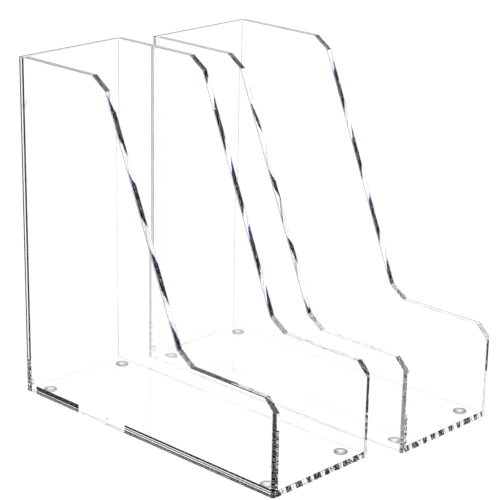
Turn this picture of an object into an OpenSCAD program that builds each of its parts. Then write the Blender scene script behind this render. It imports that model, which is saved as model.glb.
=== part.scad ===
// Pair of clear acrylic magazine holders.
// Each holder is four flat sheets, solvent-bonded edge to face, on four adhesive bumper feet.
// The sides are cut low at the front and joined to the full height by a steep slope.
// The front and the top are open.
// Axes: +X to the right, +Y towards the back, +Z up. The origin is under the middle of the pair,
// on the surface that the feet stand on.

/* [Holder] */
// Outside width of one holder
holder_w = 117; // [90:1:150]
// Outside depth of one holder, front to back
holder_d = 306; // [270:1:340]
// Height of the sides and the back, without the feet
holder_h = 308; // [260:1:340]
// Thickness of the acrylic sheet
sheet_t = 6; // [4:0.5:8]

/* [Side outline] */
// Height of the low front part of a side
front_h = 85; // [60:1:120]
// Depth of the full-height part of a side, from the back to its sharp corner
top_run = 105; // [70:1:130]
// Depth of the low front part of a side, from the front to its sharp corner
front_run = 106.5; // [80:0.5:120]
// Length that the bevel takes off each side of a corner
corner_cut = 11.5; // [4:0.5:16]
// Width that the bevel takes off the outer upright corner at the front of a side
front_bevel = 2.5; // [0.5:0.1:3]

/* [Feet] */
// Diameter of a bumper foot
foot_dia = 12; // [8:0.5:14]
// Height of a bumper foot, without its adhesive disc
foot_h = 2.8; // [2:0.1:5]
// Diameter of the flat underside of a bumper foot
foot_flat_dia = 6.4; // [3:0.1:7]
// Height at which the dome of a foot meets its straight rim
foot_rim_z = 1.7; // [1:0.1:1.8]
// Distance that the adhesive disc stays inside a foot's rim
adhesive_margin = 0.5; // [0.2:0.1:1]
// Thickness of an adhesive disc
adhesive_t = 0.2; // [0.1:0.05:0.5]
// Distance from the outer side face to the middle of a foot
foot_inset_x = 15; // [14:0.5:24]
// Distance from the front or back edge to the middle of a foot
foot_inset_y = 18; // [10:0.5:40]

/* [Pair] */
// Clear gap between the two holders
pair_gap = 23; // [5:1:80]
// Distance that the right holder stands in front of the left one
pair_stagger = 17; // [0:1:60]

/* [Hidden] */
round_fn = 64;
overshoot = 1;
lift = foot_h + adhesive_t;
inner_w = holder_w - 2 * sheet_t;
back_y = holder_d - sheet_t;
pair_w = 2 * holder_w + pair_gap;
pair_d = holder_d + pair_stagger;
acrylic = [0.86, 0.93, 0.96, 0.35];
bumper_clear = [0.80, 0.84, 0.86, 0.6];
adhesive_clear = [0.90, 0.88, 0.80, 0.7];

// Corners of a side in [distance from the front, height]
front_foot = [0, 0];
top_corner = [holder_d - top_run, holder_h];
step_corner = [front_run, front_h];
front_top = [0, front_h];

// The point where a corner's bevel meets the edge towards the next corner
function bevel_end(corner, next) = corner + corner_cut * (next - corner) / norm(next - corner);

// Outline of a side that ends at the given distance from the front
function side_outline(rear) = [
    front_foot,
    [rear, 0],
    [rear, holder_h],
    bevel_end(top_corner, [rear, holder_h]),
    bevel_end(top_corner, step_corner),
    bevel_end(step_corner, top_corner),
    bevel_end(step_corner, front_top),
    bevel_end(front_top, step_corner),
    bevel_end(front_top, front_foot)
];

// Sphere that joins a foot's flat underside to its rim
foot_r = foot_dia / 2;
flat_r = foot_flat_dia / 2;
dome_z = (foot_r * foot_r - flat_r * flat_r + foot_rim_z * foot_rim_z) / (2 * foot_rim_z);
dome_r = norm([flat_r, dome_z]);

// A holder is drawn with its left front bottom corner at zero, then put in its place
module in_left_holder() {
    translate([-pair_w / 2, pair_d / 2 - holder_d, lift]) children();
}

module in_right_holder() {
    translate([pair_w / 2 - holder_w, -pair_d / 2, lift]) children();
}

// A side sheet from x to x + sheet_t, with the front upright corner of its outer face bevelled
module side_sheet(x, outer_x, rear) {
    color(acrylic)
        difference() {
            translate([x, 0, 0])
                rotate([90, 0, 90])
                    linear_extrude(height = sheet_t)
                        polygon(side_outline(rear));
            translate([outer_x, 0, 0])
                rotate([0, 0, 45])
                    cube([front_bevel * sqrt(2), front_bevel * sqrt(2), 2 * holder_h], center = true);
        }
}

// The left side ends at the back, which covers its rear edge
module left_side() {
    side_sheet(0, 0, back_y);
}

// The right side runs the full depth and covers the right end of the back
module right_side() {
    side_sheet(holder_w - sheet_t, holder_w, holder_d);
}

// The back reaches from the outer face of the left side to the inner face of the right side
module back_sheet() {
    color(acrylic)
        translate([0, back_y, 0])
            cube([holder_w - sheet_t, sheet_t, holder_h]);
}

// The base lies between the sides and in front of the back
module base_sheet() {
    color(acrylic)
        translate([sheet_t, 0, 0])
            cube([inner_w, back_y, sheet_t]);
}

// Middle of a foot: side is 0 for left and 1 for right, end is 0 for front and 1 for rear
function foot_place(side, end) = [
    side == 0 ? foot_inset_x : holder_w - foot_inset_x,
    end == 0 ? foot_inset_y : holder_d - foot_inset_y,
    -lift
];

// A clear bumper: a straight rim above a low dome with a flat underside
module foot(side, end) {
    color(bumper_clear)
        translate(foot_place(side, end))
            intersection() {
                cylinder(h = foot_h, r = foot_r, $fn = round_fn);
                union() {
                    translate([0, 0, dome_z]) sphere(r = dome_r, $fn = round_fn);
                    translate([0, 0, foot_rim_z]) cylinder(h = foot_h, r = foot_r + overshoot, $fn = round_fn);
                }
            }
}

// The thin adhesive disc that holds a foot on the base
module adhesive(side, end) {
    color(adhesive_clear)
        translate(foot_place(side, end) + [0, 0, foot_h])
            cylinder(h = adhesive_t, r = foot_r - adhesive_margin, $fn = round_fn);
}

module left_holder_left_side() { in_left_holder() left_side(); }
module left_holder_right_side() { in_left_holder() right_side(); }
module left_holder_back() { in_left_holder() back_sheet(); }
module left_holder_base() { in_left_holder() base_sheet(); }
module left_holder_front_left_foot() { in_left_holder() foot(0, 0); }
module left_holder_front_right_foot() { in_left_holder() foot(1, 0); }
module left_holder_rear_left_foot() { in_left_holder() foot(0, 1); }
module left_holder_rear_right_foot() { in_left_holder() foot(1, 1); }
module left_holder_front_left_adhesive() { in_left_holder() adhesive(0, 0); }
module left_holder_front_right_adhesive() { in_left_holder() adhesive(1, 0); }
module left_holder_rear_left_adhesive() { in_left_holder() adhesive(0, 1); }
module left_holder_rear_right_adhesive() { in_left_holder() adhesive(1, 1); }
module right_holder_left_side() { in_right_holder() left_side(); }
module right_holder_right_side() { in_right_holder() right_side(); }
module right_holder_back() { in_right_holder() back_sheet(); }
module right_holder_base() { in_right_holder() base_sheet(); }
module right_holder_front_left_foot() { in_right_holder() foot(0, 0); }
module right_holder_front_right_foot() { in_right_holder() foot(1, 0); }
module right_holder_rear_left_foot() { in_right_holder() foot(0, 1); }
module right_holder_rear_right_foot() { in_right_holder() foot(1, 1); }
module right_holder_front_left_adhesive() { in_right_holder() adhesive(0, 0); }
module right_holder_front_right_adhesive() { in_right_holder() adhesive(1, 0); }
module right_holder_rear_left_adhesive() { in_right_holder() adhesive(0, 1); }
module right_holder_rear_right_adhesive() { in_right_holder() adhesive(1, 1); }

left_holder_left_side();
left_holder_right_side();
left_holder_back();
left_holder_base();
left_holder_front_left_foot();
left_holder_front_right_foot();
left_holder_rear_left_foot();
left_holder_rear_right_foot();
left_holder_front_left_adhesive();
left_holder_front_right_adhesive();
left_holder_rear_left_adhesive();
left_holder_rear_right_adhesive();
right_holder_left_side();
right_holder_right_side();
right_holder_back();
right_holder_base();
right_holder_front_left_foot();
right_holder_front_right_foot();
right_holder_rear_left_foot();
right_holder_rear_right_foot();
right_holder_front_left_adhesive();
right_holder_front_right_adhesive();
right_holder_rear_left_adhesive();
right_holder_rear_right_adhesive();
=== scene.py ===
"""Two clear acrylic magazine holders: polished sheets, cemented joints and clear bumper feet."""

import math

import bmesh
import bpy
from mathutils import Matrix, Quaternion, Vector


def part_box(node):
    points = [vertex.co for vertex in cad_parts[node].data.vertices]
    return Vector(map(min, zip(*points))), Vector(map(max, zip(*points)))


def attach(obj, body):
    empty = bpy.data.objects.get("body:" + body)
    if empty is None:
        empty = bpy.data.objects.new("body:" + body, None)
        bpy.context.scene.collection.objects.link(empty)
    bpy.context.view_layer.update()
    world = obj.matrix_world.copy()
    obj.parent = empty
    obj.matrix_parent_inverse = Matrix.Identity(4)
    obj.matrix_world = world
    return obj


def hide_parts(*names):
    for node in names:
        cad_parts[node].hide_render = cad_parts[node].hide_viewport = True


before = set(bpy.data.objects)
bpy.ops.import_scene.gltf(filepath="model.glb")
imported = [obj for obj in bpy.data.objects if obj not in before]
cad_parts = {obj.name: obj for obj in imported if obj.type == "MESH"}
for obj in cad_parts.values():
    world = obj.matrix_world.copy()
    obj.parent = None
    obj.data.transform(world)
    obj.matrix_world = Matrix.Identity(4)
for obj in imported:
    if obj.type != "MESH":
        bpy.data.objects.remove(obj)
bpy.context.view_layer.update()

HOLDERS = ("left_holder", "right_holder")
CORNERS = ("front_left", "front_right", "rear_left", "rear_right")
X, Y, Z = 0, 1, 2

BOND_GAP = 0.00002        # a sheet stops this far short of the sheet it is cemented to
EDGE_BEVEL = 0.00035      # the fine bevel that takes the sharpness off the edges of a sheet
BEVEL_STEPS = 2
NEAR = 0.00001            # two places closer than this are the same place
WELD = 1e-6               # points of a CAD mesh closer than this are one point
FLAT_ANGLE = math.radians(1)     # faces that meet at less than this are one face
SMOOTH_ANGLE = math.radians(30)  # round pieces shade smoothly where faces meet at less than this
SQUARE = 0.999            # the part of a normal along an axis, above which a face is square to it
CUT_CORNER = (0.5, 0.95)  # the upward part of the normal on a sheet's cut corners
SLOPE = (0.2, 0.5)        # the upward part of the normal on a sheet's slope
TOP_CORNER_FROM = 0.9     # a cut corner above this part of the height is the one at the top of the slope
SHEET = 0.006             # thickness of the sheet
ACRYLIC_IOR = 1.491
RUBBER_IOR = 1.5


# ---------------------------------------------------------------- shader nodes

def new_material(name):
    material = bpy.data.materials.new(name)
    material.use_nodes = True
    tree = material.node_tree
    return material, tree, tree.nodes["Principled BSDF"]


def put(tree, socket, value):
    """Links a socket to another, or sets its value; a colour is opaque."""
    if isinstance(value, bpy.types.NodeSocket):
        tree.links.new(value, socket)
    elif socket.type == "RGBA":
        socket.default_value = (*value, 1)
    else:
        socket.default_value = value


def maths(tree, operation, *values):
    node = tree.nodes.new("ShaderNodeMath")
    node.operation = operation
    for socket, value in zip(node.inputs, values):
        put(tree, socket, value)
    return node.outputs[0]


def place(tree, stretch=(1, 1, 1), turn=0.0):
    """The place on the object in metres, turned about the X-Y diagonal and stretched along each axis."""
    coordinates = tree.nodes.new("ShaderNodeTexCoord")
    turned = tree.nodes.new("ShaderNodeVectorRotate")
    turned.inputs["Axis"].default_value = (-1, 1, 0)
    turned.inputs["Angle"].default_value = turn
    tree.links.new(coordinates.outputs["Object"], turned.inputs["Vector"])
    scaled = tree.nodes.new("ShaderNodeVectorMath")
    scaled.operation = "MULTIPLY"
    tree.links.new(turned.outputs[0], scaled.inputs[0])
    scaled.inputs[1].default_value = stretch
    return scaled.outputs[0]


def split(tree, vector):
    node = tree.nodes.new("ShaderNodeSeparateXYZ")
    tree.links.new(vector, node.inputs[0])
    return node.outputs


def noise(tree, vector, scale, detail=2.0):
    node = tree.nodes.new("ShaderNodeTexNoise")
    tree.links.new(vector, node.inputs["Vector"])
    node.inputs["Scale"].default_value = scale
    node.inputs["Detail"].default_value = detail
    return node.outputs["Fac"]


def ramp(tree, factor, stops, steps=False):
    """A colour ramp; stops are (position, colour)."""
    node = tree.nodes.new("ShaderNodeValToRGB")
    node.color_ramp.interpolation = "CONSTANT" if steps else "LINEAR"
    elements = node.color_ramp.elements
    while len(elements) < len(stops):
        elements.new(1.0)
    for element, (position, colour) in zip(elements, stops):
        element.position = position
        element.color = (*colour, 1)
    tree.links.new(factor, node.inputs[0])
    return node.outputs[0]


def between(tree, value, low, high):
    """1 where the value lies between low and high, 0 elsewhere."""
    above = maths(tree, "GREATER_THAN", value, low)
    return maths(tree, "MULTIPLY", above, maths(tree, "LESS_THAN", value, high))


def outside(tree, value, low, high):
    """1 where the value lies below low or above high, 0 elsewhere."""
    return ramp(tree, value, ((0.0, grey(1.0)), (low, grey(0.0)), (high, grey(1.0))), steps=True)


def mixed(tree, factor, first, second):
    mix = tree.nodes.new("ShaderNodeMix")
    mix.data_type = "RGBA"
    put(tree, mix.inputs["Factor"], factor)
    put(tree, mix.inputs[6], first)
    put(tree, mix.inputs[7], second)
    return mix.outputs[2]


def grey(value):
    return (value, value, value)


# ---------------------------------------------------------------- materials

def through(*colour):
    """The base colour that turns white light into this colour at one surface of a clear sheet."""
    return tuple(channel * channel for channel in colour)


def tone(value):
    """The base colour that turns white light into this grey at one surface of a clear sheet."""
    return through(*grey(value))


# The lines, flecks, wedges, stripes, bands, hatches and blocks set out below are painted shade and painted
# reflections on the clear edges, standing in for what the edges refract from around them.
# Across a sheet, measured from 0 at its outer or front face to 1 at its inner or rear face
LOW_LINE = 0.20               # the line along the outer side of a low front run ends here
LOW_DARK = (0.1, 0.86)        # the dark part of a low front run lies between these
SLOPE_OUTLINE = (0.08, 0.93)  # a slope has a grey line outside these
SLOPE_CLEAR = (0.14, 0.88)    # and clear strips outside these
CORNER_SWAY = 0.35            # how far the stripes of a top corner wander
CORNER_SHIFT = 0.18           # how far those stripes are moved back
BAND_SWAY = 0.12              # how far the bands on a back's end wander

# In wedges
SLOPE_SWAY = 0.30         # how far the slopes' wedges wander
WEDGE_LEAN = 0.30         # how far the slopes' wedges lean through the sheet

# In metres
LOW_SWAY = 0.04           # how far the front end of a low front run's dark part wanders
BLOCK_PITCH = 0.0117      # from one dark block to the next along the front edge of the base
BLOCK_LEAN = 30.0         # how far the blocks lean, in pitches a metre
STRIP_GAP = 0.0032        # the joint under the left holder's outer side is clear for this far at its rear
STRIP_REAR = 0.061        # the painted dark shade in that joint ends this far from its rear
STRIP_LINES = 0.121       # the three painted shade lines in that joint start this far from its rear

STRIP_NODE = "left_holder_left_side"
# BLACK is painted shade, and BEIGE the colour of painted reflections in the flecks of a low front run.
BLACK, BEIGE, WHITE = tone(0.02), through(0.93, 0.86, 0.78), grey(0.97)

# The end of a back carries a hatch of painted shade below this height, in metres
HATCH_HEIGHTS = {"left_holder": 0.034, "right_holder": 0.0}

# The height in metres where a front edge changes: a left side has black flecks of painted shade below it, a
# right side has painted dark shade above
FRONT_CHANGES = {
    "left_holder_left_side": 0.030,
    "left_holder_right_side": 0.044,
    "right_holder_left_side": 0.038,
    "right_holder_right_side": 0.047,
}

# The height where the first painted dark wedge starts and from one to the next, in metres, and the share of
# painted dark shade
SLOPES = {
    "left_holder_left_side": (0.2907, 0.0586, 0.60),
    "left_holder_right_side": (0.274, 0.0522, 0.68),
    "right_holder_left_side": (0.2665, 0.0534, 0.25),
    "right_holder_right_side": (0.285, 0.0560, 0.60),
}

# The painted outer line, the flecks of painted reflection, and how far from the front the painted dark
# shade starts, in metres
LOW_RUNS = {
    "left_holder_left_side": (BLACK, (through(0.55, 0.36, 0.24), BEIGE), 0.048),
    "left_holder_right_side": (WHITE, (through(0.75, 0.50, 0.42), WHITE), 0.110),
    "right_holder_left_side": (WHITE, (through(0.80, 0.62, 0.52), WHITE), 0.110),
    "right_holder_right_side": (tone(0.25), (tone(0.80), WHITE), 0.110),
}

# Where each band of painted shade on the end of a back starts, from 0 at its front face to 1 at its rear
# face, and its tone
END_BANDS = {
    "left_holder": ((0.0, tone(0.02)), (0.40, grey(0.96)), (0.68, tone(0.05))),
    "right_holder": ((0.0, tone(0.70)), (0.07, grey(0.96)), (0.40, tone(0.22)), (0.54, tone(0.60)),
                     (0.84, tone(0.40))),
}


def clear_acrylic(name):
    material, tree, shader = new_material(name)
    shader.inputs["Transmission Weight"].default_value = 1.0
    shader.inputs["IOR"].default_value = ACRYLIC_IOR
    return material, tree, shader


def acrylic_face():
    """Cast acrylic, polished and clear, with a few faint marks from handling."""
    material, tree, shader = clear_acrylic("acrylic_face")
    shader.inputs["Base Color"].default_value = (0.985, 0.993, 0.996, 1)
    marks = noise(tree, place(tree, (1, 1, 0.25)), 900.0, 3.0)
    put(tree, shader.inputs["Roughness"], ramp(tree, marks, ((0.76, grey(0.0)), (0.82, grey(0.08)))))
    return material


def acrylic_edge():
    """The polished edge of the sheet: clear, with a faint blue-grey painted shade that outlines it."""
    material, tree, shader = clear_acrylic("acrylic_edge")
    tint = noise(tree, place(tree), 260.0)
    colours = ((0.35, (0.93, 0.95, 0.97)), (0.6, (0.98, 0.985, 0.99)))
    put(tree, shader.inputs["Base Color"], ramp(tree, tint, colours))
    shader.inputs["Roughness"].default_value = 0.0
    return material


def cut_edge(name, roughness=0.0):
    """A cut edge that carries painted shade and painted reflections. It is all transmission, so the render
    ignores its specular level and the edge reflects as the faces do."""
    material, tree, shader = clear_acrylic(name)
    shader.inputs["Roughness"].default_value = roughness
    shader.inputs["Specular IOR Level"].default_value = 0.0
    return material, tree, shader


def top_edge():
    """The long top edges: satin, and painted an even grey, which is painted shade."""
    material, tree, shader = cut_edge("acrylic_top_edge", 0.12)
    painted_shade_lines = noise(tree, place(tree), 1400.0)
    colours = ((0.3, tone(0.32)), (0.7, tone(0.44)))
    put(tree, shader.inputs["Base Color"], ramp(tree, painted_shade_lines, colours))
    return material


def back_top_edge(name, front_y):
    """The top edge of a back: clear, with a grey line of painted shade along its rear."""
    material, tree, shader = cut_edge(name)
    y = split(tree, place(tree))[1]
    depth = maths(tree, "DIVIDE", maths(tree, "SUBTRACT", y, front_y), SHEET)
    colours = ((0.0, grey(0.97)), (0.42, tone(0.06)))
    put(tree, shader.inputs["Base Color"], ramp(tree, depth, colours, steps=True))
    return material


def across(tree, outer_x, inward):
    """How far through a side sheet the place is: 0 at its outer face and 1 at its inner face."""
    x = split(tree, place(tree))[0]
    return maths(tree, "DIVIDE", maths(tree, "SUBTRACT", x, outer_x), inward * SHEET)


def low_edge(name, depth_of, line, body, dark_from):
    """The low front run of a side: a painted line along its outer side, flecks of painted reflection, and
    painted dark shade behind dark_from.
    """
    material, tree, shader = cut_edge(name)
    depth = across(tree, *depth_of)
    y = split(tree, place(tree))[1]
    flecks = noise(tree, place(tree, (700, 110, 0)), 1.0, 3.0)
    inside = ramp(tree, flecks, ((0.42, body[0]), (0.54, body[1])))
    sway = maths(tree, "MULTIPLY", noise(tree, place(tree, (300, 90, 0)), 1.0, 2.0), LOW_SWAY)
    behind = maths(tree, "GREATER_THAN", maths(tree, "ADD", y, sway), dark_from + LOW_SWAY / 2)
    dark = maths(tree, "MULTIPLY", behind, between(tree, depth, *LOW_DARK))
    colour = mixed(tree, dark, inside, BLACK)
    edge = ramp(tree, depth, ((0.0, grey(1.0)), (LOW_LINE, grey(0.0))), steps=True)
    put(tree, shader.inputs["Base Color"], mixed(tree, edge, colour, line))
    return material


def slope_edge(name, depth_of, start, pitch, share):
    """The long slope of a side: painted dark wedges with navy tips and brown ends, pale glints and a grey
    outline, all painted shade and reflections in the depth of the sheet.
    """
    material, tree, shader = cut_edge(name)
    depth = across(tree, *depth_of)
    z = split(tree, place(tree))[2]
    sway = maths(tree, "MULTIPLY", noise(tree, place(tree, (260, 0, 60)), 1.0, 2.0), SLOPE_SWAY)
    down = maths(tree, "DIVIDE", maths(tree, "SUBTRACT", start, z), pitch)
    lean = maths(tree, "MULTIPLY", depth, WEDGE_LEAN)
    phase = maths(tree, "FRACT", maths(tree, "ADD", maths(tree, "SUBTRACT", down, lean), sway))
    parts = (
        (0.0, through(0.02, 0.03, 0.13)),
        (0.24 * share, tone(0.004)),
        (0.46 * share, through(0.06, 0.065, 0.08)),
        (0.64 * share, tone(0.006)),
        (0.92 * share, through(0.30, 0.16, 0.10)),
        (share, (0.97, 0.96, 0.98)),
    )
    wedge = ramp(tree, phase, parts, steps=True)
    # the pale glints on the wedges are painted highlights
    grain = noise(tree, place(tree, (1000, 0, 240)), 1.0, 2.0)
    glint = ramp(tree, grain, ((0.62, grey(0.0)), (0.70, grey(0.7))))
    wedge = mixed(tree, glint, wedge, (0.80, 0.80, 0.84))
    clear = outside(tree, depth, *SLOPE_CLEAR)
    colour = mixed(tree, clear, wedge, WHITE)
    outline = outside(tree, depth, *SLOPE_OUTLINE)
    put(tree, shader.inputs["Base Color"], mixed(tree, outline, colour, tone(0.42)))
    return material


def bevel_painted_shade():
    """Bevels, polished over: a fine grey grain of painted shade, standing in for the shade the bevels
    refract.
    """
    material, tree, shader = cut_edge("acrylic_bevel_painted_shade")
    painted_shade_lines = noise(tree, place(tree, (1100, 1100, 1100)), 1.0, 3.0)
    colours = ((0.40, tone(0.42)), (0.50, tone(0.62)), (0.60, tone(0.88)))
    put(tree, shader.inputs["Base Color"], ramp(tree, painted_shade_lines, colours))
    return material


def top_corner_edge(name, depth_of):
    """The cut corner at the top of a side: a core of painted dark shade with paler painted stripes, in the
    depth of the sheet.
    """
    material, tree, shader = cut_edge(name)
    sway = maths(tree, "MULTIPLY", noise(tree, place(tree, (300, 150, 150)), 1.0, 2.0), CORNER_SWAY)
    depth = maths(tree, "ADD", across(tree, *depth_of), maths(tree, "SUBTRACT", sway, CORNER_SHIFT))
    stripes = (
        (0.0, tone(0.45)),
        (0.16, tone(0.06)),
        (0.34, tone(0.30)),
        (0.44, tone(0.03)),
        (0.62, tone(0.50)),
        (0.70, tone(0.08)),
        (0.84, tone(0.55)),
    )
    put(tree, shader.inputs["Base Color"], ramp(tree, depth, stripes, steps=True))
    return material


def front_edge(name, stretch, turn, change, below, above):
    """The front upright edge: one grain of painted shade below the height of the change, another above it.
    """
    material, tree, shader = cut_edge(name)
    grain = noise(tree, place(tree, stretch, turn), 1.0, 3.0)
    high = maths(tree, "GREATER_THAN", split(tree, place(tree))[2], change)
    colour = mixed(tree, high, ramp(tree, grain, below), ramp(tree, grain, above))
    put(tree, shader.inputs["Base Color"], colour)
    return material


def left_front_edge(name, shade_flecks_to):
    """Clear, with black flecks of painted shade low down."""
    below = ((0.49, tone(0.01)), (0.55, grey(0.97)))
    above = ((0.30, tone(0.70)), (0.42, grey(0.97)))
    return front_edge(name, (700, 0, 330), 0.6, shade_flecks_to, below, above)


def right_front_edge(name, dark_from):
    """Broken black lines of painted shade high up, and a pale painted mottle below them."""
    below = ((0.38, tone(0.55)), (0.52, tone(0.85)))
    above = ((0.60, tone(0.01)), (0.66, tone(0.90)))
    return front_edge(name, (520, 0, 520), 0.2, dark_from, below, above)


def back_end(name, front_y, bands, hatch_height):
    """The upright end of a back: bands of painted shade that run up it in the depth of the sheet, and a
    hatch of painted shade low down.
    """
    material, tree, shader = cut_edge(name)
    y, z = split(tree, place(tree))[1:]
    sway = maths(tree, "MULTIPLY", noise(tree, place(tree, (0, 0, 60)), 1.0, 2.0), BAND_SWAY)
    depth = maths(tree, "DIVIDE", maths(tree, "SUBTRACT", y, front_y), SHEET)
    swayed = maths(tree, "ADD", depth, maths(tree, "SUBTRACT", sway, BAND_SWAY / 2))
    upright = ramp(tree, swayed, bands, steps=True)
    hatch = noise(tree, place(tree, (0, 1100, 300), -0.5), 1.0, 2.0)
    hatched = ramp(tree, hatch, ((0.53, tone(0.004)), (0.59, tone(0.80))))
    low = maths(tree, "LESS_THAN", z, hatch_height)
    put(tree, shader.inputs["Base Color"], mixed(tree, low, upright, hatched))
    return material


def base_front_edge():
    """The front edge of the base: blocks of painted dark shade and navy and brown painted reflections
    between clear ones, in its depth.
    """
    material, tree, shader = cut_edge("acrylic_base_front_edge")
    sway = noise(tree, place(tree, (60, 0, 0)), 1.0, 1.0)
    x, _, z = split(tree, place(tree, (1 / BLOCK_PITCH, 1, BLOCK_LEAN)))
    phase = maths(tree, "FRACT", maths(tree, "ADD", maths(tree, "ADD", x, z), sway))
    grain = noise(tree, place(tree, (640, 0, 240), 0.3), 1.0, 2.0)
    dark_tones = (
        (0.0, tone(0.004)),
        (0.45, through(0.025, 0.040, 0.130)),
        (0.49, tone(0.004)),
        (0.56, tone(0.85)),
        (0.58, through(0.20, 0.10, 0.07)),
        (0.63, tone(0.50)),
    )
    clear_tones = (
        (0.0, tone(0.30)),
        (0.40, grey(0.96)),
        (0.54, tone(0.62)),
        (0.57, grey(0.96)),
        (0.66, through(0.75, 0.66, 0.60)),
    )
    darkness = ((0.0, grey(1.0)), (0.54, grey(0.0)), (0.66, grey(0.9)), (0.72, grey(0.0)))
    dark = ramp(tree, grain, dark_tones, steps=True)
    clear = ramp(tree, grain, clear_tones, steps=True)
    part = ramp(tree, phase, darkness, steps=True)
    put(tree, shader.inputs["Base Color"], mixed(tree, part, clear, dark))
    return material


def cement_joint():
    """Where two sheets are cemented the joint all but vanishes: a trace of haze and a few small bubbles."""
    material, tree, shader = new_material("cement_joint")
    shader.inputs["Base Color"].default_value = (0.88, 0.91, 0.93, 1)
    shader.inputs["Roughness"].default_value = 0.35
    bubbles = noise(tree, place(tree), 1300.0, 1.0)
    put(tree, shader.inputs["Alpha"], ramp(tree, bubbles, ((0.72, grey(0.025)), (0.80, grey(0.35)))))
    return material


def joint_strip(name, rear_y, low_z):
    """The joint under the left holder's outer side, with painted shade: dark grain at the rear, and three
    lines ahead.
    """
    material, tree, shader = new_material(name)
    y, z = split(tree, place(tree))[1:]
    height = maths(tree, "DIVIDE", maths(tree, "SUBTRACT", z, low_z), SHEET)
    ahead = maths(tree, "SUBTRACT", rear_y, y)
    grain = noise(tree, place(tree, (0, 420, 900)), 1.0, 3.0)
    tones = ramp(tree, grain, ((0.45, grey(0.0)), (0.58, (0.002, 0.003, 0.010)), (0.68, grey(0.30))))
    put(tree, shader.inputs["Base Color"], tones)
    shader.inputs["Roughness"].default_value = 0.5
    shader.inputs["Specular IOR Level"].default_value = 0.0
    rear_lines = ((0.0, grey(1.0)), (0.22, grey(0.03)), (0.31, grey(1.0)))
    front_lines = ((0.0, grey(0.02)), (0.06, grey(1.0)), (0.22, grey(0.02)), (0.38, grey(1.0)),
                   (0.54, grey(0.02)), (0.68, grey(1.0)))
    faint_lines = ((0.0, grey(0.02)), (0.15, grey(0.10)), (0.25, grey(0.02)), (0.60, grey(0.08)),
                   (0.70, grey(0.02)))
    rear = ramp(tree, height, rear_lines, steps=True)
    painted_shade_lines = ramp(tree, height, front_lines, steps=True)
    faint = ramp(tree, height, faint_lines, steps=True)
    middle = mixed(tree, maths(tree, "GREATER_THAN", ahead, STRIP_LINES), faint, painted_shade_lines)
    alpha = mixed(tree, between(tree, ahead, STRIP_GAP, STRIP_REAR), middle, rear)
    in_gap = maths(tree, "LESS_THAN", ahead, STRIP_GAP)
    put(tree, shader.inputs["Alpha"], mixed(tree, in_gap, alpha, grey(0.02)))
    return material


def cement_seam():
    """The thin line where a cemented joint meets the outside."""
    material, tree, shader = clear_acrylic("cement_seam")
    flecks = noise(tree, place(tree), 500.0)
    put(tree, shader.inputs["Base Color"], ramp(tree, flecks, ((0.4, grey(0.02)), (0.75, grey(0.20)))))
    shader.inputs["Roughness"].default_value = 0.05
    return material


FACE, EDGE, TOP, PAINTED_BEVEL, BASE_FRONT, JOINT, SEAM = range(7)
ACRYLIC = (acrylic_face(), acrylic_edge(), top_edge(), bevel_painted_shade(), base_front_edge(), cement_joint(),
           cement_seam())
LOW_RUN, SLOPE_RUN, TOP_CORNER, FRONT, STRIP = (len(ACRYLIC) + i for i in range(5))
BACK_END, BACK_TOP = (len(ACRYLIC) + i for i in range(2))


# ---------------------------------------------------------------- meshes

def mesh_object(name, bm, materials):
    mesh = bpy.data.meshes.new(name)
    bm.normal_update()
    bm.to_mesh(mesh)
    bm.free()
    for material in materials:
        mesh.materials.append(material)
    obj = bpy.data.objects.new(name, mesh)
    bpy.context.scene.collection.objects.link(obj)
    return obj


def welded_copy(node):
    """The CAD node's own mesh, welded, with its flat faces made whole."""
    bm = bmesh.new()
    bm.from_mesh(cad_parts[node].data)
    bmesh.ops.remove_doubles(bm, verts=bm.verts, dist=WELD)
    bmesh.ops.dissolve_limit(bm, angle_limit=FLAT_ANGLE, verts=bm.verts, edges=bm.edges)
    return bm


def at(edge, axis, spot):
    """Whether an edge lies in the plane at that spot along an axis."""
    return all(abs(v.co[axis] - spot) < NEAR for v in edge.verts)


def cut(bm, axis, spot):
    """Splits the faces that cross the plane at that spot along an axis."""
    normal = Vector((0, 0, 0))
    normal[axis] = 1
    everything = list(bm.verts) + list(bm.edges) + list(bm.faces)
    bmesh.ops.bisect_plane(bm, geom=everything, plane_co=normal * spot, plane_no=normal, dist=NEAR / 10)


def bevel(bm, keep_sharp=()):
    edges = [e for e in bm.edges if e not in keep_sharp]
    bmesh.ops.bevel(bm, geom=edges, offset=EDGE_BEVEL, segments=BEVEL_STEPS, profile=0.5,
                    affect="EDGES", clamp_overlap=True)
    bm.normal_update()


def side_finish(normal, middle, inner_x, base, back, joint):
    """The finish of one face of a side sheet. The right side also holds the end of the back."""
    inner = abs(middle.x - inner_x) < EDGE_BEVEL
    if abs(normal.x) > SQUARE:
        joined = middle.z < base[1].z or middle.y > back[0].y
        return joint if inner and joined else FACE
    bevelled = abs(normal.x) > NEAR
    if bevelled and inner and (middle.z < base[0].z + EDGE_BEVEL or middle.y > back[1].y - EDGE_BEVEL):
        return SEAM
    edge = Vector((0, normal.y, normal.z)).normalized()
    if edge.z > SQUARE:
        return TOP if middle.z > back[1].z - EDGE_BEVEL else LOW_RUN
    if CUT_CORNER[0] < edge.z < CUT_CORNER[1]:
        return TOP_CORNER if middle.z > TOP_CORNER_FROM * back[1].z else PAINTED_BEVEL
    if SLOPE[0] < edge.z < SLOPE[1]:
        return SLOPE_RUN
    if edge.y < -SQUARE:
        return PAINTED_BEVEL if bevelled else FRONT
    return EDGE


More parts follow.
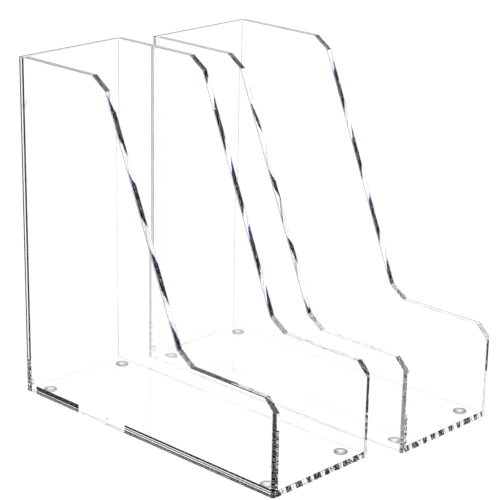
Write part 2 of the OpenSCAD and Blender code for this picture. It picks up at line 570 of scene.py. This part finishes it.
def make_side(holder, part):
    """A side. The left one stops against the back, and the right one covers the end of the back."""
    node = f"{holder}_{part}"
    low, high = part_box(node)
    base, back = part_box(f"{holder}_base"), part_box(f"{holder}_back")
    left = part == "left_side"
    inner_x, front_edge_of = (high.x, left_front_edge) if left else (low.x, right_front_edge)
    depth_of = (low.x, 1.0) if left else (high.x, -1.0)
    line, flecks, dark_from = LOW_RUNS[node]
    own = (low_edge(f"acrylic_{node}_low_edge", depth_of, line, flecks, low.y + dark_from),
           slope_edge(f"acrylic_{node}_slope", depth_of, *SLOPES[node]),
           top_corner_edge(f"acrylic_{node}_top_corner", depth_of),
           front_edge_of(f"acrylic_{node}_front", FRONT_CHANGES[node]))
    if node == STRIP_NODE:
        own += (joint_strip(f"cement_{node}_joint", high.y, low.z),)
    bm = welded_copy(node)
    against = []
    if left:
        rear = high.y - BOND_GAP
        for v in bm.verts:
            v.co.y = min(v.co.y, rear)
        against = [e for e in bm.edges if at(e, Y, rear)]
    bevel(bm, against)
    cut(bm, Z, base[1].z)
    cut(bm, Y, back[0].y)
    bm.normal_update()
    joint = STRIP if node == STRIP_NODE else JOINT
    for face in bm.faces:
        middle = face.calc_center_median()
        face.material_index = side_finish(face.normal, middle, inner_x, base, back, joint)
    return mesh_object(f"{node}_sheet", bm, (*ACRYLIC, *own))


def make_back(holder):
    """The back. Its left end stands free, and its right end is cemented to the right side."""
    node = f"{holder}_back"
    low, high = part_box(node)
    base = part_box(f"{holder}_base")
    bm = welded_copy(node)
    end = high.x - BOND_GAP
    for v in bm.verts:
        v.co.x = min(v.co.x, end)
    in_front = [e for e in bm.edges if at(e, Y, low.y)]
    bevel(bm, [e for e in in_front if at(e, X, low.x) or at(e, X, end) or at(e, Z, low.z)])
    cut(bm, Z, base[1].z)
    cut(bm, X, base[0].x)
    bm.normal_update()
    for face in bm.faces:
        normal, middle = face.normal, face.calc_center_median()
        behind_base = normal.y < -SQUARE and middle.z < base[1].z and middle.x > base[0].x
        if behind_base or normal.x > SQUARE:
            face.material_index = JOINT
        elif abs(normal.y) > SQUARE:
            face.material_index = FACE
        elif normal.x < -NEAR and abs(normal.z) < NEAR:
            face.material_index = BACK_END
        elif middle.z > high.z - 2 * EDGE_BEVEL and normal.z > NEAR:
            face.material_index = BACK_TOP
        else:
            face.material_index = SEAM if middle.x > end - EDGE_BEVEL else EDGE
    own = (back_end(f"acrylic_{holder}_back_end", low.y, END_BANDS[holder], HATCH_HEIGHTS[holder]),
           back_top_edge(f"acrylic_{holder}_back_top", low.y))
    return mesh_object(f"{node}_sheet", bm, (*ACRYLIC, *own))


def make_base(holder):
    node = f"{holder}_base"
    low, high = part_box(node)
    bm = welded_copy(node)
    ends = (low.x + BOND_GAP, high.x - BOND_GAP)
    rear = high.y - BOND_GAP
    for v in bm.verts:
        v.co.x = min(max(v.co.x, ends[0]), ends[1])
        v.co.y = min(v.co.y, rear)
    on_top = [e for e in bm.edges if at(e, Z, high.z)]
    bevel(bm, [e for e in on_top if at(e, Y, rear) or any(at(e, X, x) for x in ends)])
    for face in bm.faces:
        normal, middle = face.normal, face.calc_center_median()
        near_end = min(abs(middle.x - x) for x in ends) < EDGE_BEVEL or middle.y > rear - EDGE_BEVEL
        if abs(normal.x) > SQUARE or normal.y > SQUARE:
            face.material_index = JOINT
        elif abs(normal.z) > SQUARE:
            face.material_index = FACE
        elif middle.y < low.y + EDGE_BEVEL and normal.y < -NEAR:
            face.material_index = BASE_FRONT
        else:
            face.material_index = SEAM if near_end else EDGE
    return mesh_object(f"{node}_sheet", bm, ACRYLIC)


for holder in HOLDERS:
    pieces = {
        "left_side": make_side(holder, "left_side"),
        "right_side": make_side(holder, "right_side"),
        "back": make_back(holder),
        "base": make_base(holder),
    }
    for part, obj in pieces.items():
        # clear sheets throw no shadow, and light that the floor scatters passes them by
        obj.visible_shadow = False
        obj.visible_diffuse = False
        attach(obj, holder)
        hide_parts(f"{holder}_{part}")


FOOT_FLAT = 0.0032        # radius of a foot's flat underside
FOOT_RIM_Z = 0.0017       # height at which the dome of a foot meets its straight rim
FOOT_ROUND = 0.00015      # rounding of a foot's upper rim
FOOT_RING = 0.006         # radius of a foot, which the ring of painted shade on its top is measured in
DISC_GAP = 0.00002        # an adhesive disc stops this far short of the foot and the base
RING_STEPS = 64
DOME_STEPS = 8
RING_SWAY = 0.16          # how far the ring of painted shade wanders, in radii of a foot
WALL_SWAY = 0.15          # how far the painted shade on the dome wanders, in heights of the dome


def bumper():
    """Clear soft rubber, with painted shade darker up the wall of the dome."""
    material, tree, shader = new_material("clear_bumper")
    shader.inputs["Transmission Weight"].default_value = 1.0
    shader.inputs["IOR"].default_value = RUBBER_IOR
    shader.inputs["Specular IOR Level"].default_value = 0.0
    shader.inputs["Roughness"].default_value = 0.02
    height = split(tree, place(tree, (1, 1, 1 / FOOT_RIM_Z)))[2]
    grain = noise(tree, place(tree), 900.0)
    wall = maths(tree, "ADD", height, maths(tree, "MULTIPLY", grain, WALL_SWAY))
    colours = ((0.50, grey(0.95)), (0.95, tone(0.30)))
    put(tree, shader.inputs["Base Color"], ramp(tree, wall, colours))
    return material


def bumper_top():
    """The flat top of a bumper, stuck down: clear in the middle, with a dark ring of painted shade where it
    rounds over.
    """
    material, tree, shader = new_material("clear_bumper_top")
    x, y, _ = split(tree, place(tree, (1 / FOOT_RING, 1 / FOOT_RING, 1)))
    squares = (maths(tree, "MULTIPLY", x, x), maths(tree, "MULTIPLY", y, y))
    radius = maths(tree, "SQRT", maths(tree, "ADD", *squares))
    grain = maths(tree, "MULTIPLY", noise(tree, place(tree), 700.0), RING_SWAY)
    run = maths(tree, "ADD", radius, maths(tree, "SUBTRACT", grain, RING_SWAY / 2))
    shader.inputs["Base Color"].default_value = (0.03, 0.03, 0.03, 1)
    shader.inputs["Roughness"].default_value = 0.3
    shader.inputs["Specular IOR Level"].default_value = 0.0
    ring = ((0.68, grey(0.05)), (0.80, grey(0.85)), (0.97, grey(0.97)))
    put(tree, shader.inputs["Alpha"], ramp(tree, run, ring))
    return material


def adhesive_film():
    """A thin clear film of adhesive with a faint haze and a few trapped specks."""
    material, tree, shader = new_material("clear_adhesive")
    shader.inputs["Base Color"].default_value = (0.92, 0.91, 0.86, 1)
    shader.inputs["Roughness"].default_value = 0.25
    specks = noise(tree, place(tree), 1500.0, 1.0)
    put(tree, shader.inputs["Alpha"], ramp(tree, specks, ((0.70, grey(0.04)), (0.78, grey(0.35)))))
    return material


def lathe(name, centre, profile, materials, top_from):
    """Spins a closed outline of (radius, height), from the middle below to the middle above."""
    bm = bmesh.new()
    rings = []
    for radius, height in profile[1:-1]:
        angles = [2 * math.pi * i / RING_STEPS for i in range(RING_STEPS)]
        rings.append([bm.verts.new((radius * math.cos(a), radius * math.sin(a), height)) for a in angles])
    for lower, upper in zip(rings, rings[1:]):
        for i in range(RING_STEPS):
            j = (i + 1) % RING_STEPS
            bm.faces.new((lower[i], lower[j], upper[j], upper[i]))
    bm.faces.new(tuple(reversed(rings[0])))
    bm.faces.new(tuple(rings[-1]))
    bm.normal_update()
    for face in bm.faces:
        face.material_index = 1 if face.normal.z > SQUARE and face.calc_center_median().z > top_from else 0
        face.smooth = True
    obj = mesh_object(name, bm, materials)
    obj.data.set_sharp_from_angle(angle=SMOOTH_ANGLE)
    obj.location = centre
    return obj


def make_foot(node, materials):
    low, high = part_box(node)
    radius, top = (high.x - low.x) / 2, high.z - low.z
    dome_z = (radius ** 2 - FOOT_FLAT ** 2 + FOOT_RIM_Z ** 2) / (2 * FOOT_RIM_Z)
    dome_r = math.hypot(FOOT_FLAT, dome_z)
    spread = [FOOT_FLAT + (radius - FOOT_FLAT) * i / DOME_STEPS for i in range(DOME_STEPS + 1)]
    profile = [(0, 0)] + [(r, max(dome_z - math.sqrt(dome_r ** 2 - r ** 2), 0)) for r in spread]
    profile += [(radius, top - FOOT_ROUND), (radius - FOOT_ROUND / 3, top - FOOT_ROUND / 3),
                (radius - FOOT_ROUND, top), (0, top)]
    centre = Vector(((low.x + high.x) / 2, (low.y + high.y) / 2, low.z))
    return lathe(f"{node}_bumper", centre, profile, materials, top / 2)


def make_adhesive(node, material):
    low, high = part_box(node)
    radius, bottom, top = (high.x - low.x) / 2, DISC_GAP, high.z - low.z - DISC_GAP
    rounding = (top - bottom) / 4
    profile = [(0, bottom), (radius - rounding, bottom), (radius, bottom + rounding),
               (radius, top - rounding), (radius - rounding, top), (0, top)]
    centre = Vector(((low.x + high.x) / 2, (low.y + high.y) / 2, low.z))
    return lathe(f"{node}_disc", centre, profile, (material, material), top)


BUMPER = (bumper(), bumper_top())
FILM = adhesive_film()
for holder in HOLDERS:
    for corner in CORNERS:
        foot_node, film_node = f"{holder}_{corner}_foot", f"{holder}_{corner}_adhesive"
        for node, obj, slot in ((foot_node, make_foot(foot_node, BUMPER), "clear_bumper"),
                                (film_node, make_adhesive(film_node, FILM), "clear_adhesive")):
            obj.visible_shadow = False
            obj.visible_diffuse = False
            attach(obj, holder)
            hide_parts(node)


# ---------------------------------------------------------------- floor, light and camera

FLOOR_SIZE = 12.0
FLOOR_WHITE = (0.9, 0.9, 0.9)
LIGHT_STRENGTH = 1.2


def make_floor():
    """A plain pale floor."""
    bpy.ops.mesh.primitive_plane_add(size=FLOOR_SIZE, location=(0, 0, 0))
    floor = bpy.context.object
    floor.name = "studio_floor"
    material, _, shader = new_material("studio_floor")
    shader.inputs["Base Color"].default_value = (*FLOOR_WHITE, 1)
    shader.inputs["Roughness"].default_value = 0.6
    shader.inputs["Specular IOR Level"].default_value = 0.2
    floor.data.materials.append(material)


def make_world():
    """Soft white light from all round."""
    world = bpy.data.worlds.new("studio")
    bpy.context.scene.world = world
    world.use_nodes = True
    background = world.node_tree.nodes["Background"]
    background.inputs["Color"].default_value = (1, 1, 1, 1)
    background.inputs["Strength"].default_value = LIGHT_STRENGTH


LENS = 133.2
SENSOR_WIDTH = 36
CLIP = (0.05, 50)
CAMERA_POSITION = Vector((-1.1041, -1.0496, 0.6662))
CAMERA_TARGET = Vector((-0.0145, -0.0059, 0.1157))
CAMERA_ROLL = math.radians(1.04)
CAMERA_SHIFT_Y = 0.08


def make_camera():
    data = bpy.data.cameras.new("camera")
    data.lens = LENS
    data.sensor_width = SENSOR_WIDTH
    data.shift_y = CAMERA_SHIFT_Y
    data.clip_start, data.clip_end = CLIP
    camera = bpy.data.objects.new("camera", data)
    bpy.context.scene.collection.objects.link(camera)
    camera.location = CAMERA_POSITION
    aim = (CAMERA_TARGET - CAMERA_POSITION).to_track_quat("-Z", "Y")
    camera.rotation_mode = "QUATERNION"
    camera.rotation_quaternion = aim @ Quaternion((0, 0, 1), CAMERA_ROLL)
    bpy.context.scene.camera = camera


make_floor()
make_world()
make_camera()

# Linear tones below this come out black, which hides the surface reflection over the painted dark shade on
# the edges.
# Without it the darkest tones are dark grey. It is part of the picture only, and not of any material.
BLACK_LEVEL = 0.04
BOUNCES = 128             # a ray in a clear sheet is reflected many times

scene = bpy.context.scene
scene.view_settings.view_transform = "Standard"
scene.view_settings.use_curve_mapping = True
scene.view_settings.curve_mapping.black_level = grey(BLACK_LEVEL)
scene.view_settings.curve_mapping.update()
scene.cycles.max_bounces = BOUNCES
scene.cycles.transmission_bounces = BOUNCES
scene.cycles.glossy_bounces = BOUNCES
scene.cycles.transparent_max_bounces = BOUNCES
scene.cycles.use_denoising = True
